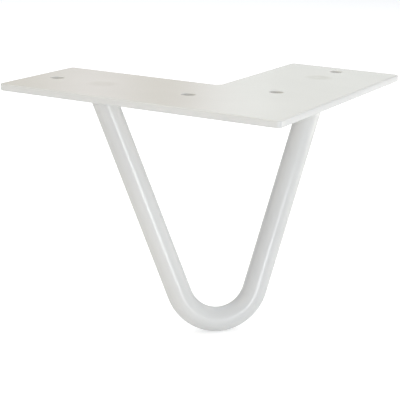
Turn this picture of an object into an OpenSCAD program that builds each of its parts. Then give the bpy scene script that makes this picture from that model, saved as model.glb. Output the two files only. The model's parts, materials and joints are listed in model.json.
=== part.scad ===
// Short hairpin table leg: a round rod bent into a V and welded under an
// L-shaped mounting plate that screws to the underside of a tabletop's corner.
// The origin is where the centre-lines of the plate's two arms cross, on the
// plate's top face. The arms run along +X and +Y, the tabletop is above, and
// the bend of the rod is the foot, straight down and out towards the corner.

/* [Mounting plate] */
// Length of each arm, from the plate's outer corner to the arm's end
arm_len = 120; // [100:1:160]
// Width of each arm
arm_w = 50; // [40:1:60]
// Thickness of the sheet
plate_t = 2.7; // [2:0.1:5]
// Corner radius of the plate's outline
corner_r = 2; // [1.5:0.5:8]
// Radius of the fillet in the inner corner between the arms
notch_r = 3; // [2:0.5:10]
// Radius that softens the sheet's edges and the rims of its holes
edge_r = 0.5; // [0.2:0.1:0.9]

/* [Screw holes] */
// Diameter of each screw hole
hole_d = 5; // [3.5:0.5:7]
// Distance between the two holes of one arm
hole_pitch = 60; // [50:1:75]
// Distance from an arm's end to its outer hole's centre
hole_end = 10; // [8:1:15]

/* [Rod] */
// Diameter of the round rod
rod_d = 10; // [6:0.5:13]
// Height of the leg, from the plate's top face to the floor
leg_h = 100; // [80:1:400]
// Distance from an arm's end to the centre of the rod's end
rod_inset = 30.6; // [25:0.1:45]
// Radius of the bend at the foot, to the rod's centre-line
bend_r = 17; // [12:0.5:25]
// Angle by which the V leans out towards the plate's outer corner
lean = 12; // [0:1:20]

/* [Welds] */
// Leg length of the weld fillet between a rod end and the plate
weld_leg = 3.5; // [2:0.5:5]
// How full the bead is: 0 is a quarter-round, higher is flatter
weld_flatness = 0.3; // [0:0.1:0.8]

/* [Hidden] */
$fn = 96;

// Plate: half an arm's width, and how far an arm's end is from the origin
half_w = arm_w / 2;
arm_reach = arm_len - half_w;
hole_places = [arm_reach - hole_end, arm_reach - hole_end - hole_pitch];

// Rod: its ends stand on the arms' centre-lines, this far from the origin
rod_r = rod_d / 2;
rod_reach = arm_reach - rod_inset;
half_spread = rod_reach / sqrt(2);

// The V, in its own plane: depths below the plate's underside, measured down
// the plane, then the strands' length to the bend and their angle to the middle
foot_depth = (leg_h - rod_r - plate_t) / cos(lean);
bend_depth = foot_depth - bend_r;
strand_l = sqrt(pow(half_spread, 2) + pow(bend_depth, 2) - pow(bend_r, 2));
strand_a = atan2(half_spread, bend_depth) - atan2(bend_r, strand_l);

// One side of the sheet's section, w wide, with its far edges softened
module edge_section(w) {
    translate([0, -plate_t]) square([w - edge_r, plate_t]);
    translate([0, edge_r - plate_t]) square([w, plate_t - 2 * edge_r]);
    for (z = [-edge_r, edge_r - plate_t])
        translate([w - edge_r, z]) circle(edge_r);
}

// A strip of sheet from the origin along X, w wide in Y, softened on both long sides
module soft_strip(l, w) {
    rotate([90, 0, 90]) linear_extrude(l) translate([w / 2, 0]) {
        edge_section(w / 2);
        mirror([1, 0]) edge_section(w / 2);
    }
}

// A rectangle of sheet from the origin, with round corners and softened edges
module soft_sheet(l, w) {
    translate([corner_r, 0, 0]) soft_strip(l - 2 * corner_r, w);
    translate([l, corner_r, 0]) rotate([0, 0, 90]) soft_strip(w - 2 * corner_r, l);
    for (x = [corner_r, l - corner_r], y = [corner_r, w - corner_r])
        translate([x, y, 0]) rotate_extrude() edge_section(corner_r);
}

// What a round hole of radius r with softened rims takes out of the sheet
module soft_hole(r) {
    rotate_extrude() difference() {
        translate([0, -plate_t]) square([r + edge_r, plate_t]);
        translate([2 * r + edge_r, 0]) mirror([1, 0]) edge_section(r + edge_r);
    }
}

// The sheet without its cuts: two arms, and a filled square in the corner between them
module plate_blank() {
    translate([-half_w, -half_w, 0]) {
        soft_sheet(arm_len, arm_w);
        soft_sheet(arm_w, arm_len);
    }
    translate([half_w - edge_r, half_w - edge_r, -plate_t])
        cube([notch_r + edge_r, notch_r + edge_r, plate_t]);
}

module mounting_plate() {
    color("gainsboro") difference() {
        plate_blank();
        translate([half_w + notch_r, half_w + notch_r, 0]) soft_hole(notch_r);
        for (d = hole_places) {
            translate([d, 0, 0]) soft_hole(hole_d / 2);
            translate([0, d, 0]) soft_hole(hole_d / 2);
        }
    }
}

// Puts the V's own frame under the plate: X across the V, -Z down it
module in_v_plane() {
    translate([rod_reach / 2, rod_reach / 2, -plate_t])
        rotate([0, 0, -45]) rotate([-lean, 0, 0]) children();
}

// The half of the V's own frame where X is above 0, a rod's width clear of it all round
module right_half() {
    translate([0, -rod_d, -foot_depth - rod_d])
        cube([half_spread + rod_d, 2 * rod_d, foot_depth + 2 * rod_d]);
}

// Half of the V: one straight strand, drawn past the plate's underside, and a
// quarter turn of the bend, cut off where the two halves meet
module half_v() {
    intersection() {
        translate([0, 0, -bend_depth]) rotate([-90, 0, 0]) rotate([0, 0, strand_a]) {
            rotate_extrude(angle = 90) translate([bend_r, 0]) circle(rod_r);
            translate([bend_r, 0, 0]) rotate([90, 0, 0])
                cylinder(h = strand_l + rod_r, r = rod_r);
        }
        right_half();
    }
}

// The space over the plate's underside, where the rod's ends are cut off flush
module above_underside() {
    translate([-half_w, -half_w, -plate_t]) cube([arm_len, arm_len, 2 * rod_d]);
}

module rod_form() {
    difference() {
        in_v_plane() {
            half_v();
            mirror([1, 0, 0]) half_v();
        }
        above_underside();
    }
}

module bent_rod() {
    color("whitesmoke") rod_form();
}

// Half the weld's section, from the middle of the rod's end outwards: a disc
// whose centre sits inside the corner of rod and plate, kept below the plate
module weld_section() {
    sunk = weld_leg * weld_flatness;
    round_r = sqrt(pow(weld_leg + sunk, 2) + pow(sunk, 2));
    intersection() {
        translate([rod_r - sunk, sunk]) circle(round_r);
        translate([0, -2 * round_r]) square([rod_r + 2 * round_r, 2 * round_r]);
    }
}

// A bead of weld all round the rod's end, against the plate's underside
module weld_bead(place) {
    color("lightgray") difference() {
        translate([place[0], place[1], -plate_t]) rotate_extrude() weld_section();
        rod_form();
    }
}

module weld_bead_right() {
    weld_bead([rod_reach, 0]);
}

module weld_bead_left() {
    weld_bead([0, rod_reach]);
}

mounting_plate();
bent_rod();
weld_bead_right();
weld_bead_left();
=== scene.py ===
# Looks of the short hairpin table leg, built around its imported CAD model.
# Everything is in metres in the part's own frame: the origin is where the
# centre-lines of the plate's two arms cross on its top face, the arms run along
# +X and +Y, and the rod hangs down along -Z.
import json
import math

import bpy
import numpy as np
from mathutils import Matrix, Vector
from mathutils.geometry import delaunay_2d_cdt

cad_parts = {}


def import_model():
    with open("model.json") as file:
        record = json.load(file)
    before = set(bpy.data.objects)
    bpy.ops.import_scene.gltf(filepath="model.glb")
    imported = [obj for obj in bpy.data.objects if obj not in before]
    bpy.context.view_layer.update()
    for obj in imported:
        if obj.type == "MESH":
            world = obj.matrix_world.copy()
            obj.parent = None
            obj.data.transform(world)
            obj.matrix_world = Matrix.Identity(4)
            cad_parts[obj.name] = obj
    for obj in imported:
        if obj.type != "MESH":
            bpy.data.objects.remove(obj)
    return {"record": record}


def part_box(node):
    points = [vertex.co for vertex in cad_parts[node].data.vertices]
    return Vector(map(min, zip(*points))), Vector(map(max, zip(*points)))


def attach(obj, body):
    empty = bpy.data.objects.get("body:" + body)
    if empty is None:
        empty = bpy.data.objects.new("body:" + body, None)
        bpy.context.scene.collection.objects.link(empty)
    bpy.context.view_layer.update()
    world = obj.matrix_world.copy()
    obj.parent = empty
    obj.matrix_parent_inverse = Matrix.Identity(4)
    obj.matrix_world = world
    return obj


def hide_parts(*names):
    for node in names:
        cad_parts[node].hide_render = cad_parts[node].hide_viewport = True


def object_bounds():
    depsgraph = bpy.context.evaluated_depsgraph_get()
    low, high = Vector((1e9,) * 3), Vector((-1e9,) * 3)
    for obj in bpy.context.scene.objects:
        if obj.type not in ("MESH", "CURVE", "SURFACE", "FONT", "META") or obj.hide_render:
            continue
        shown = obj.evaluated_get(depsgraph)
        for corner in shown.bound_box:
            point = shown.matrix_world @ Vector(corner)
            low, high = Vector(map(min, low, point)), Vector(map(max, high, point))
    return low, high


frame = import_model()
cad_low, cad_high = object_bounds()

MM = 0.001

# Sizes that the frame gives
plate_low, plate_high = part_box("mounting_plate")
weld_low, weld_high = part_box("weld_bead_right")
HALF_W = -plate_low.x
ARM_REACH = plate_high.x
PLATE_T = -plate_low.z
ROD_REACH = (weld_low.x + weld_high.x) / 2
WELD_REACH = (weld_high.x - weld_low.x) / 2
FLOOR_Z = cad_low.z

# Sizes that the frame doesn't state
CORNER_R = 2 * MM
NOTCH_R = 3 * MM
EDGE_R = 0.5 * MM
ROD_R = 5 * MM
BEND_R = 17 * MM
LEAN = math.radians(12)


# Screw holes


def hole_places():
    """Centres and radius of the screw holes, from the record's two bolt patterns."""
    places = []
    for mount in frame["record"]["mounts"]:
        if mount["kind"] != "bolt_pattern":
            continue
        dims = mount["dims"]
        radius = dims["hole_r_mm"] * MM
        half = Vector((dims.get("spacing_x_mm", 0), dims.get("spacing_y_mm", 0))) * MM / 2
        middle = Vector(mount["pos_m"][:2])
        places += [(middle - half, radius), (middle + half, radius)]
    return places


HOLES = hole_places()


# Line of the rod


class RodLine:
    """Centre-line of the bent rod: two strands, tangent to a bend, in a plane that leans."""

    def __init__(self):
        across = Vector((1, -1, 0)).normalized()
        out = Vector((-1, -1, 0)).normalized()
        self.across = across
        self.down = math.sin(LEAN) * out + math.cos(LEAN) * Vector((0, 0, -1))
        self.normal = self.across.cross(self.down).normalized()
        self.middle = Vector((ROD_REACH / 2, ROD_REACH / 2, -PLATE_T))
        self.half_spread = ROD_REACH / math.sqrt(2)
        foot_depth = (-FLOOR_Z - ROD_R - PLATE_T) / math.cos(LEAN)
        self.bend_depth = foot_depth - BEND_R
        span = math.hypot(self.half_spread, self.bend_depth)
        self.strand_l = math.sqrt(span**2 - BEND_R**2)
        to_end = math.atan2(self.half_spread, self.bend_depth)
        self.strand_a = to_end - math.atan2(BEND_R, self.strand_l)

    def place(self, side, depth):
        """The point that lies side across and depth down the V's plane."""
        return self.middle + side * self.across + depth * self.down

    def strand_direction(self, sign):
        """Unit vector down the strand on the side that sign gives, 1 for right and -1 for left."""
        return math.cos(self.strand_a) * self.down - sign * math.sin(self.strand_a) * self.across

    def points(self, strand_step, bend_step):
        """(point, direction) pairs from the left end round the bend to the right end."""
        made = []
        strand_count = math.ceil(self.strand_l / strand_step)
        left_end = self.place(-self.half_spread, 0)
        left_way = self.strand_direction(-1)
        for k in range(strand_count):
            made.append((left_end + left_way * (self.strand_l * k / strand_count), left_way))
        turn_total = math.pi - 2 * self.strand_a
        bend_count = math.ceil(BEND_R * turn_total / bend_step)
        for k in range(bend_count + 1):
            turn = math.pi - self.strand_a - turn_total * k / bend_count
            side, depth = BEND_R * math.cos(turn), BEND_R * math.sin(turn)
            way = math.sin(turn) * self.across - math.cos(turn) * self.down
            made.append((self.place(side, self.bend_depth + depth), way))
        right_end = self.place(self.half_spread, 0)
        right_way = -self.strand_direction(1)
        for k in range(1, strand_count + 1):
            left_over = self.strand_l * (1 - k / strand_count)
            made.append((right_end - right_way * left_over, right_way))
        return made


ROD_LINE = RodLine()


# Mesh helpers


def add_piece(name, cad_node, vertices, faces, material):
    """Adds a smooth-shaded mesh in place of a CAD node, riding on the root body."""
    mesh = bpy.data.meshes.new(name)
    mesh.from_pydata([tuple(v) for v in vertices], [], faces)
    mesh.validate()
    mesh.polygons.foreach_set("use_smooth", [True] * len(mesh.polygons))
    mesh.materials.append(material)
    mesh.update()
    piece = bpy.data.objects.new(name, mesh)
    bpy.context.scene.collection.objects.link(piece)
    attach(piece, "root")
    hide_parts(cad_node)


def ring_faces(first, second):
    """Quads between two closed rings of vertex numbers."""
    corners = zip(first, first[1:] + first[:1], second[1:] + second[:1], second)
    return list(corners)


# Mounting plate

EDGE_STEPS = 7
CORNER_STEPS = 10
HOLE_STEPS = 56
OUTLINE_STEP = 2.5 * MM
SUPPORT = 0.15 * MM
COARSE_GRID = 2.5 * MM
FINE_GRID = 0.8 * MM
SAME_POINT = 1e-9
SINK_DEPTH = 0.05 * MM
SINK_R = 5.5 * MM
SINK_POWER = 4
FINE_REACH = 2.4 * SINK_R
# The right and left weld's sink and its painted shade on the top face: shift outwards along its arm,
# then the painted shade's radius and strength
WELD_SINK_SHADE = ((2.1 * MM, 7.2 * MM, 0.85), (-1.1 * MM, 7.5 * MM, 0.4))


def edge_section():
    """(inset, z) down the sheet's softened edge, from its flat top to its flat underside."""
    top = []
    for k in range(EDGE_STEPS + 1):
        turn = math.pi / 2 * k / EDGE_STEPS
        top.append((EDGE_R * (1 - math.sin(turn)), EDGE_R * (math.cos(turn) - 1)))
    return top + [(inset, -PLATE_T - z) for inset, z in reversed(top)]


def plate_outline(inset):
    """The plate's outline, anticlockwise from its outer corner, moved inwards by inset."""
    near, reach = HALF_W - CORNER_R, ARM_REACH - CORNER_R
    notch = HALF_W + NOTCH_R
    quarter = math.pi / 2
    convex, hollow = CORNER_R - inset, NOTCH_R + inset
    corners = [
        (-near, -near, 2 * quarter, quarter, convex),
        (reach, -near, 3 * quarter, quarter, convex),
        (reach, near, 0, quarter, convex),
        (notch, notch, 3 * quarter, -quarter, hollow),
        (near, reach, 0, quarter, convex),
        (-near, reach, quarter, quarter, convex),
    ]
    arcs = []
    for x, y, start, sweep, radius in corners:
        turns = [start + sweep * k / CORNER_STEPS for k in range(CORNER_STEPS + 1)]
        arcs.append([Vector((x + radius * math.cos(t), y + radius * math.sin(t))) for t in turns])
    points = []
    for arc, after in zip(arcs, arcs[1:] + arcs[:1]):
        points += arc
        straight = after[0] - arc[-1]
        count = round(straight.length / OUTLINE_STEP)
        points += [arc[-1] + straight * k / count for k in range(1, count)]
    return points


def hole_outline(place, radius, inset):
    """A screw hole's rim, clockwise, moved into the sheet by inset."""
    turns = [-2 * math.pi * k / HOLE_STEPS for k in range(HOLE_STEPS)]
    return [place + (radius + inset) * Vector((math.cos(t), math.sin(t))) for t in turns]


def inside(points, loop):
    """Which points lie inside a closed loop, by counting the edges to their right."""
    x, y = points[:, 0], points[:, 1]
    count = np.zeros(len(points), int)
    for (ax, ay), (bx, by) in zip(loop, loop[1:] + loop[:1]):
        if ay == by:
            continue
        spans = (ay > y) != (by > y)
        count += spans & (x < ax + (y - ay) * (bx - ax) / (by - ay))
    return count % 2 == 1


def weld_places():
    """Where the rod's ends stand under the plate."""
    return [Vector((ROD_REACH, 0)), Vector((0, ROD_REACH))]


def sink_places():
    """Where the top face sinks over the welds and painted shade darkens it, a little off the rod's
    ends along the arms.
    """
    (right_shift, _, _), (left_shift, _, _) = WELD_SINK_SHADE
    return [Vector((ROD_REACH + right_shift, 0)), Vector((0, ROD_REACH + left_shift))]


def grid_points(step):
    """Points of a staggered grid over the plate's box."""
    rows = math.ceil((ARM_REACH + HALF_W) / (step * math.sqrt(3) / 2))
    columns = math.ceil((ARM_REACH + HALF_W) / step)
    made = []
    for row in range(rows + 1):
        for column in range(columns + 1):
            x = -HALF_W + step * (column + 0.5 * (row % 2))
            made.append((x, -HALF_W + step * math.sqrt(3) / 2 * row))
    return np.array(made)


def from_welds(points):
    """Distance of each point from the nearest rod end, seen from above."""
    gaps = [np.hypot(points[:, 0] - w.x, points[:, 1] - w.y) for w in weld_places()]
    return np.minimum(*gaps)


def plate_fill(loops):
    """Triangles over the flat of the sheet: (points, triangles), loops first among the points."""
    border = [tuple(p) for loop in loops for p in loop]
    edges = []
    start = 0
    for loop in loops:
        numbers = list(range(start, start + len(loop)))
        edges += list(zip(numbers, numbers[1:] + numbers[:1]))
        start += len(loop)
    clear = EDGE_R + SUPPORT
    extra = [tuple(p) for p in plate_outline(clear)]
    for place, radius in HOLES:
        extra += [tuple(p) for p in hole_outline(place, radius, clear)]
    for step, near_weld in ((COARSE_GRID, False), (FINE_GRID, True)):
        grid = grid_points(step)
        keep = inside(grid, [tuple(p) for p in plate_outline(clear + step / 2)])
        keep &= (from_welds(grid) < FINE_REACH) == near_weld
        for place, radius in HOLES:
            keep &= np.hypot(grid[:, 0] - place.x, grid[:, 1] - place.y) > radius + clear + step / 2
        extra += [tuple(p) for p in grid[keep]]
    wanted = [Vector(p) for p in border + extra]
    points, _, triangles, origins, _, _ = delaunay_2d_cdt(wanted, edges, [], 0, SAME_POINT)
    if len(points) != len(wanted):
        raise ValueError("the plate's fill merged or added points")
    order = [origin[0] for origin in origins]
    triangles = [tuple(order[k] for k in triangle) for triangle in triangles]
    flat = np.array([tuple(p) for p in wanted])
    centres = flat[np.array(triangles)].mean(axis=1)
    keep = inside(centres, [tuple(p) for p in loops[0]])
    for place, radius in HOLES:
        keep &= np.hypot(centres[:, 0] - place.x, centres[:, 1] - place.y) > radius + EDGE_R
    return flat, [t for t, kept in zip(triangles, keep) if kept]


def sink(points):
    """How far the top face is drawn down over the welds, at each point."""
    depth = np.zeros(len(points))
    for mark in sink_places():
        away = np.hypot(points[:, 0] - mark.x, points[:, 1] - mark.y)
        depth += SINK_DEPTH * np.exp(-((away / SINK_R) ** SINK_POWER))
    return depth


def build_plate(material):
    """The L-shaped sheet: softened edges and rims, and faint sinks over the two welds."""
    section = edge_section()
    vertices, faces = [], []
    rings = [[] for _ in range(1 + len(HOLES))]
    for inset, z in section:
        loops = [plate_outline(inset)]
        loops += [hole_outline(place, radius, inset) for place, radius in HOLES]
        for ring, loop in zip(rings, loops):
            ring.append(list(range(len(vertices), len(vertices) + len(loop))))
            vertices += [(p.x, p.y, z) for p in loop]
    for ring in rings:
        for upper, lower in zip(ring, ring[1:]):
            faces += ring_faces(lower, upper)
    loops = [plate_outline(EDGE_R)]
    loops += [hole_outline(place, radius, EDGE_R) for place, radius in HOLES]
    flat, triangles = plate_fill(loops)
    border_count = sum(len(loop) for loop in loops)
    for level, z in ((0, 0.0), (-1, -PLATE_T)):
        numbers = [n for ring in rings for n in ring[level]]
        start = len(vertices)
        numbers += list(range(start, start + len(flat) - border_count))
        drop = sink(flat) if level == 0 else np.zeros(len(flat))
        vertices += [(x, y, z - d) for (x, y), d in zip(flat[border_count:], drop[border_count:])]
        for a, b, c in triangles:
            face = (numbers[a], numbers[b], numbers[c])
            faces.append(face if level == 0 else face[::-1])
    add_piece("plate_coated", "mounting_plate", vertices, faces, material)


# Bent rod

ROD_SIDES = 72
STRAND_STEP = 1.5 * MM
BEND_STEP = 0.6 * MM


def rod_ring(point, way):
    """Points round the rod at a place on its line."""
    side = way.cross(ROD_LINE.normal)
    turns = [2 * math.pi * k / ROD_SIDES for k in range(ROD_SIDES)]
    return [point + ROD_R * (math.cos(t) * ROD_LINE.normal + math.sin(t) * side) for t in turns]


def slide_to_plate(p, way):
    """Moves a point along the strand until it lies on the plate's underside."""
    return p + way * ((-PLATE_T - p.z) / way.z)


def build_rod(material):
    """The round rod swept along its line, with both ends cut flush with the plate."""
    line = ROD_LINE.points(STRAND_STEP, BEND_STEP)
    line = line[:1] + [pair for pair in line[1:-1] if pair[0].z < -PLATE_T - ROD_R] + line[-1:]
    vertices, faces, rings = [], [], []
    for k, (point, way) in enumerate(line):
        ring = rod_ring(point, way)
        if k in (0, len(line) - 1):
            ring = [slide_to_plate(p, way) for p in ring]
        rings.append(list(range(len(vertices), len(vertices) + ROD_SIDES)))
        vertices += ring
    for first, second in zip(rings, rings[1:]):
        faces += ring_faces(first, second)
    faces.append(tuple(reversed(rings[0])))
    faces.append(tuple(rings[-1]))
    add_piece("rod_coated", "bent_rod", vertices, faces, material)


# Weld beads

WELD_TURNS = 288
WELD_STEPS = 14
WELD_LEG = WELD_REACH - ROD_R
WELD_SUNK = 0.3
RIPPLES = 24
RIPPLE_DEPTH = 0.06
RIPPLE_BOW = 2.2
WANDER = 0.05
RIGHT_START = 0.4
LEFT_START = 2.1


def weld_reach(turn, share, start):
    """Size of the bead against its full size, at a turn round the rod and a share across it."""
    wave = RIPPLES * turn + start - RIPPLE_BOW * math.sin(math.pi * share)
    crest = (wave / (2 * math.pi)) % 1
    wander = WANDER * (1 + math.sin(2 * turn + start) * math.cos(3 * turn + 2 * start)) / 2
    return 1 - wander - RIPPLE_DEPTH * crest**2 * math.sin(math.pi * share)


def build_weld(name, cad_node, sign, start, material):
    """A rippled fillet of weld round one end of the rod."""
    centre = ROD_LINE.place(sign * ROD_LINE.half_spread, 0)
    way = ROD_LINE.strand_direction(sign)
    side = way.cross(ROD_LINE.normal)
    sunk = WELD_LEG * WELD_SUNK
    round_r = math.hypot(WELD_LEG + sunk, sunk)
    low = math.atan2(sunk, WELD_LEG + sunk)
    vertices, faces, rings = [], [], []
    for k in range(WELD_TURNS):
        turn = 2 * math.pi * k / WELD_TURNS
        outwards = math.cos(turn) * ROD_LINE.normal + math.sin(turn) * side
        corner = slide_to_plate(centre + ROD_R * outwards, way)
        flat = Vector((outwards.x, outwards.y, 0)).normalized()
        ring = []
        for step in range(WELD_STEPS + 1):
            share = step / WELD_STEPS
            angle = low + (math.pi / 2 - 2 * low) * share
            size = weld_reach(turn, share, start)
            along_plate = (round_r * math.cos(angle) - sunk) * size
            along_rod = (round_r * math.sin(angle) - sunk) * size
            ring.append(corner + along_plate * flat + along_rod * way)
        ring.append(corner)
        rings.append(list(range(len(vertices), len(vertices) + len(ring))))
        vertices += ring
    for first, second in zip(rings, rings[1:] + rings[:1]):
        faces += ring_faces(first, second)
    add_piece(name, cad_node, vertices, faces, material)


# Powder coat

COAT_LIGHT = (0.815, 0.81, 0.805, 1)
COAT_DARK = (0.785, 0.78, 0.775, 1)
# Painted shade: a darker tint over the weld sinks, standing in for the shade on each sink's far side
SINK_SHADE_TINT = (0.64, 0.63, 0.59, 1)
# Painted shade: a darker tint in the screw holes' walls and rims, standing in for their shadow
HOLE_SHADE_TINT = (0.67, 0.66, 0.64, 1)
COAT_IOR = 1.5
# Each noise's scale and detail
PATCHES = (22, 3)
PEEL = (420, 2)
GRAIN = (2200, 1)
SINK_SHADE_BREAKS = (160, 2)
# The range that such a noise mostly keeps to
NOISE_LOW = 0.35
NOISE_HIGH = 0.65
PEEL_HEIGHT = 0.003 * MM
PEEL_ON_PLATE = 1
PEEL_ON_ROD = 1.4
PEEL_ON_WELD = 3
GLOSS_SMOOTH = 0.17
GLOSS_DULL = 0.23
# Painted shade over the weld sinks: its full-strength core and its faintest breaks
SINK_SHADE_CORE = 0.3
SINK_SHADE_FAINTEST = 0.5
# Where the painted shade in the screw holes starts and reaches full strength, beyond their radius
RIM_OUTER = 0.4 * EDGE_R
RIM_INNER = 0.04 * EDGE_R


def node(tree, kind, **inputs):
    """A shader node with some of its inputs set."""
    made = tree.nodes.new(kind)
    for name, value in inputs.items():
        made.inputs[name.replace("_", " ")].default_value = value
    return made


def combine(tree, operation, first, second):
    """A maths node's result; first is a socket, second a socket or a number."""
    made = tree.nodes.new("ShaderNodeMath")
    made.operation = operation
    tree.links.new(first, made.inputs[0])
    if isinstance(second, float):
        made.inputs[1].default_value = second
    else:
        tree.links.new(second, made.inputs[1])
    return made.outputs["Value"]


def noise(tree, place, settings):
    """Noise over the part's own coordinates."""
    scale, detail = settings
    made = node(tree, "ShaderNodeTexNoise", Scale=scale, Detail=detail)
    tree.links.new(place.outputs["Object"], made.inputs["Vector"])
    return made.outputs["Fac"]


def spread(tree, value, low, high):
    """Stretches a noise value to run from low to high."""
    made = node(
        tree, "ShaderNodeMapRange", From_Min=NOISE_LOW, From_Max=NOISE_HIGH, To_Min=low, To_Max=high
    )
    tree.links.new(value, made.inputs["Value"])
    return made.outputs["Result"]


def blend_colour(tree, factor, first, second):
    """A mix of two colours, where first is a plain colour or a socket."""
    made = tree.nodes.new("ShaderNodeMix")
    made.data_type = "RGBA"
    sockets = {s.name: s for s in made.inputs if s.enabled}
    tree.links.new(factor, sockets["Factor"])
    if isinstance(first, tuple):
        sockets["A"].default_value = first
    else:
        tree.links.new(first, sockets["A"])
    sockets["B"].default_value = second
    return next(s for s in made.outputs if s.enabled)


def spots(tree, place, circles):
    """Soft round spots seen from above, from (centre, outer radius, inner radius, strength) each."""
    level = tree.nodes.new("ShaderNodeVectorMath")
    level.operation = "MULTIPLY"
    level.inputs[1].default_value = (1, 1, 0)
    tree.links.new(place.outputs["Object"], level.inputs[0])
    total = None
    for centre, outer, inner, strength in circles:
        gap = tree.nodes.new("ShaderNodeVectorMath")
        gap.operation = "DISTANCE"
        gap.inputs[1].default_value = (centre.x, centre.y, 0)
        tree.links.new(level.outputs["Vector"], gap.inputs[0])
        fade = node(tree, "ShaderNodeMapRange", From_Min=outer, From_Max=inner, To_Max=strength)
        fade.interpolation_type = "SMOOTHSTEP"
        tree.links.new(gap.outputs["Value"], fade.inputs["Value"])
        spot = fade.outputs["Result"]
        total = spot if total is None else combine(tree, "MAXIMUM", total, spot)
    return total


def weld_sink_shade(tree, place):
    """How strongly painted shade darkens the sinks over the welds, 0 to 1, near the rod's two ends.
    """
    circles = [(p, r, r * SINK_SHADE_CORE, s) for p, (_, r, s) in zip(sink_places(), WELD_SINK_SHADE)]
    breaks = spread(tree, noise(tree, place, SINK_SHADE_BREAKS), SINK_SHADE_FAINTEST, 1)
    return combine(tree, "MULTIPLY", spots(tree, place, circles), breaks)


def hole_shade(tree, place):
    """Where painted shade darkens the screw holes' walls and rims, 0 to 1."""
    return spots(tree, place, [(p, r + RIM_OUTER, r + RIM_INNER, 1) for p, r in HOLES])


def powder_coat(name, peel, with_painted_shade):
    """Glossy off-white powder coat; with_painted_shade adds painted shade over the weld sinks and in
    the screw holes.
    """
    material = bpy.data.materials.new(name)
    material.use_nodes = True
    tree = material.node_tree
    shader = tree.nodes["Principled BSDF"]
    shader.inputs["IOR"].default_value = COAT_IOR
    place = tree.nodes.new("ShaderNodeTexCoord")
    patches = spread(tree, noise(tree, place, PATCHES), 0, 1)
    tint = blend_colour(tree, patches, COAT_DARK, COAT_LIGHT)
    if with_painted_shade:
        # Painted shade: darkens the top face over the weld sinks
        tint = blend_colour(tree, weld_sink_shade(tree, place), tint, SINK_SHADE_TINT)
        # Painted shade: darkens the screw holes' walls and rims
        tint = blend_colour(tree, hole_shade(tree, place), tint, HOLE_SHADE_TINT)
    tree.links.new(tint, shader.inputs["Base Color"])
    gloss = spread(tree, noise(tree, place, GRAIN), GLOSS_SMOOTH, GLOSS_DULL)
    tree.links.new(gloss, shader.inputs["Roughness"])
    bump = node(tree, "ShaderNodeBump", Strength=1, Distance=PEEL_HEIGHT * peel)
    tree.links.new(noise(tree, place, PEEL), bump.inputs["Height"])
    tree.links.new(bump.outputs["Normal"], shader.inputs["Normal"])
    return material


# Studio

FLOOR_REACH = 6
FLOOR_PALE = 0.85
FLOOR_LIFT = 0.52
FLOOR_ROUGHNESS = 0.9
PHOTO_SIDE = 400
SENSOR = 36
PHOTO_FOCAL_PX = 1200.0
CAMERA_PLACE = Vector((-0.3915, -0.1911, 0.0825))
CAMERA_YAW = math.radians(28.179)
CAMERA_PITCH = math.radians(15.475)
CAMERA_ROLL = math.radians(1.687)
NEAREST_SEEN = 0.01
AIM = Vector((0.02, 0.02, -0.04))

# Soft boxes: azimuth from +X, elevation and distance from the leg, then width and height as seen
# from there, then how bright the box looks and its tint; distances in metres, angles in degrees.
# The side panel stands near and low, so the rod mirrors it and the top face doesn't.
SOFT_BOXES = {
    "front_box": (229.5, 5, 1.2, 22, 17, 7.1, (0.95, 0.98, 1)),
    "fill_box": (195, 30, 1.2, 40, 40, 0.56, (1, 0.94, 0.88)),
    "left_box": (125, 20, 1.2, 30, 40, 0.53, (1, 0.88, 0.57)),
    "side_panel": (311, 1, 0.3, 18, 21, 3.2, (1, 0.95, 0.86)),
    "right_box": (275, 15, 1.2, 26, 40, 0.57, (0.81, 1, 0.96)),
    "right_high_box": (340, 42, 1.2, 30, 30, 1.5, (1, 0.87, 0.74)),
    "top_box": (148, 68, 1.2, 40, 40, 1.81, (1, 0.91, 0.65)),
    "back_box": (29, 50, 1.2, 40, 40, 1.09, (0.76, 0.87, 1)),
}
WORLD_LIGHT = (0.336, 0.358, 0.397)
# Glows: azimuth and elevation of the middle, inner and outer radius, in degrees, and the light
GLOWS = (
    (28.5, 11, 15, 45, (0.244, 0.177, 0.055)),
    (16.5, 11, 9, 12.5, (0.293, 0.372, 0.431)),
    (26.8, 11, 1, 3, (0.515, 0.565, 0.59)),
    (28, 11, 0, 2.5, (0.255, 0.23, 0.37)),
    (33.5, 11, 0, 4, (0.56, 0.555, 0.7)),
)


def towards(azimuth, elevation):
    """Unit vector in a direction; azimuth is from +X, and both angles are in radians."""
    level = math.cos(elevation)
    return Vector((level * math.cos(azimuth), level * math.sin(azimuth), math.sin(elevation)))


def camera():
    """The camera at the photo's viewing angle; yaw is from +X, pitch is downwards."""
    data = bpy.data.cameras.new("camera")
    data.sensor_width = SENSOR
    data.lens = PHOTO_FOCAL_PX / PHOTO_SIDE * SENSOR
    data.clip_start = NEAREST_SEEN
    ahead = towards(CAMERA_YAW, -CAMERA_PITCH)
    level = Vector((math.sin(CAMERA_YAW), -math.cos(CAMERA_YAW), 0))
    upright = level.cross(ahead)
    right = math.cos(CAMERA_ROLL) * level + math.sin(CAMERA_ROLL) * upright
    up = math.cos(CAMERA_ROLL) * upright - math.sin(CAMERA_ROLL) * level
    made = bpy.data.objects.new("camera", data)
    turn = Matrix((right, up, -ahead)).transposed().to_4x4()
    made.matrix_world = Matrix.Translation(CAMERA_PLACE) @ turn
    bpy.context.scene.collection.objects.link(made)
    bpy.context.scene.camera = made


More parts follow.
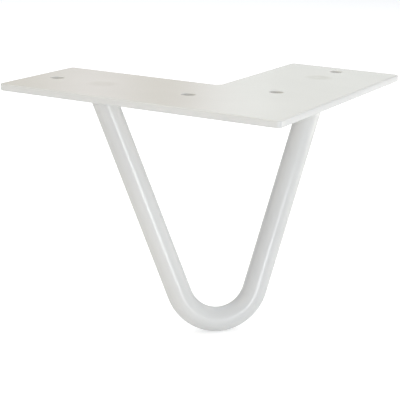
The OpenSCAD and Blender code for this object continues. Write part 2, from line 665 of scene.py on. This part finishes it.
def softbox(name, azimuth, elevation, distance, width, height, light, tint):
    """A soft area lamp that fills width by height degrees, and looks as bright as light says."""
    data = bpy.data.lights.new(name, "AREA")
    data.shape = "RECTANGLE"
    data.size = 2 * distance * math.tan(math.radians(width / 2))
    data.size_y = 2 * distance * math.tan(math.radians(height / 2))
    data.energy = light * math.pi * data.size * data.size_y
    data.color = tint
    made = bpy.data.objects.new(name, data)
    away = towards(math.radians(azimuth), math.radians(elevation))
    made.location = AIM + away * distance
    made.rotation_euler = away.to_track_quat("Z", "Y").to_euler()
    made.visible_camera = False
    bpy.context.scene.collection.objects.link(made)


def add_glow(tree, place, light, azimuth, elevation, inner, outer, colour):
    """Adds a soft-edged round glow to the world's light, with all its angles in degrees."""
    across = tree.nodes.new("ShaderNodeVectorMath")
    across.operation = "DOT_PRODUCT"
    across.inputs[1].default_value = towards(math.radians(azimuth), math.radians(elevation))
    tree.links.new(place.outputs["Generated"], across.inputs[0])
    angle = tree.nodes.new("ShaderNodeMath")
    angle.operation = "ARCCOSINE"
    tree.links.new(across.outputs["Value"], angle.inputs[0])
    limits = {"From_Min": math.radians(outer), "From_Max": math.radians(inner)}
    fade = node(tree, "ShaderNodeMapRange", **limits)
    fade.interpolation_type = "SMOOTHSTEP"
    tree.links.new(angle.outputs["Value"], fade.inputs["Value"])
    glow = tree.nodes.new("ShaderNodeVectorMath")
    glow.operation = "SCALE"
    glow.inputs[0].default_value = colour
    tree.links.new(fade.outputs["Result"], glow.inputs["Scale"])
    total = tree.nodes.new("ShaderNodeVectorMath")
    tree.links.new(light, total.inputs[0])
    tree.links.new(glow.outputs["Vector"], total.inputs[1])
    return total.outputs["Vector"]


def world():
    """Soft light from all round, brighter behind the leg, where its top face mirrors it."""
    made = bpy.data.worlds.new("studio")
    made.use_nodes = True
    bpy.context.scene.world = made
    tree = made.node_tree
    place = tree.nodes.new("ShaderNodeTexCoord")
    base = tree.nodes.new("ShaderNodeVectorMath")
    base.inputs[0].default_value = WORLD_LIGHT
    light = base.outputs["Vector"]
    for glow in GLOWS:
        light = add_glow(tree, place, light, *glow)
    tree.links.new(light, tree.nodes["Background"].inputs["Color"])


def floor():
    """A pale floor under the foot that the camera sees as white, apart from the leg's faint shadow.

    It has no underside, so the leg can be seen from below as well.
    """
    mesh = bpy.data.meshes.new("floor")
    signs = ((-1, -1), (1, -1), (1, 1), (-1, 1))
    corners = [(x * FLOOR_REACH, y * FLOOR_REACH, FLOOR_Z) for x, y in signs]
    mesh.from_pydata(corners, [], [(0, 1, 2, 3)])
    made = bpy.data.objects.new("floor", mesh)
    bpy.context.scene.collection.objects.link(made)
    material = bpy.data.materials.new("pale_floor")
    material.use_nodes = True
    tree = material.node_tree
    shader = tree.nodes["Principled BSDF"]
    shader.inputs["Base Color"].default_value = (FLOOR_PALE, FLOOR_PALE, FLOOR_PALE, 1)
    shader.inputs["Roughness"].default_value = FLOOR_ROUGHNESS
    shader.inputs["Specular IOR Level"].default_value = 0
    shader.inputs["Emission Color"].default_value = (1, 1, 1, 1)
    path = tree.nodes.new("ShaderNodeLightPath")
    seen = path.outputs["Is Camera Ray"]
    for ray in ("Is Glossy Ray", "Is Transmission Ray"):
        seen = combine(tree, "MAXIMUM", seen, path.outputs[ray])
    tree.links.new(combine(tree, "MULTIPLY", seen, FLOOR_LIFT), shader.inputs["Emission Strength"])
    side = tree.nodes.new("ShaderNodeNewGeometry")
    clear = tree.nodes.new("ShaderNodeBsdfTransparent")
    one_sided = tree.nodes.new("ShaderNodeMixShader")
    tree.links.new(side.outputs["Backfacing"], one_sided.inputs["Fac"])
    tree.links.new(shader.outputs["BSDF"], one_sided.inputs[1])
    tree.links.new(clear.outputs["BSDF"], one_sided.inputs[2])
    tree.links.new(one_sided.outputs["Shader"], tree.nodes["Material Output"].inputs["Surface"])
    mesh.materials.append(material)


bpy.context.scene.view_settings.view_transform = "Standard"
camera()
plate_coat = powder_coat("powder_coat_on_plate", PEEL_ON_PLATE, True)
rod_coat = powder_coat("powder_coat_on_rod", PEEL_ON_ROD, False)
weld_coat = powder_coat("powder_coat_on_weld", PEEL_ON_WELD, False)
build_plate(plate_coat)
build_rod(rod_coat)
build_weld("weld_coated_right", "weld_bead_right", 1, RIGHT_START, weld_coat)
build_weld("weld_coated_left", "weld_bead_left", -1, LEFT_START, weld_coat)
floor()
world()
for name, settings in SOFT_BOXES.items():
    softbox(name, *settings)
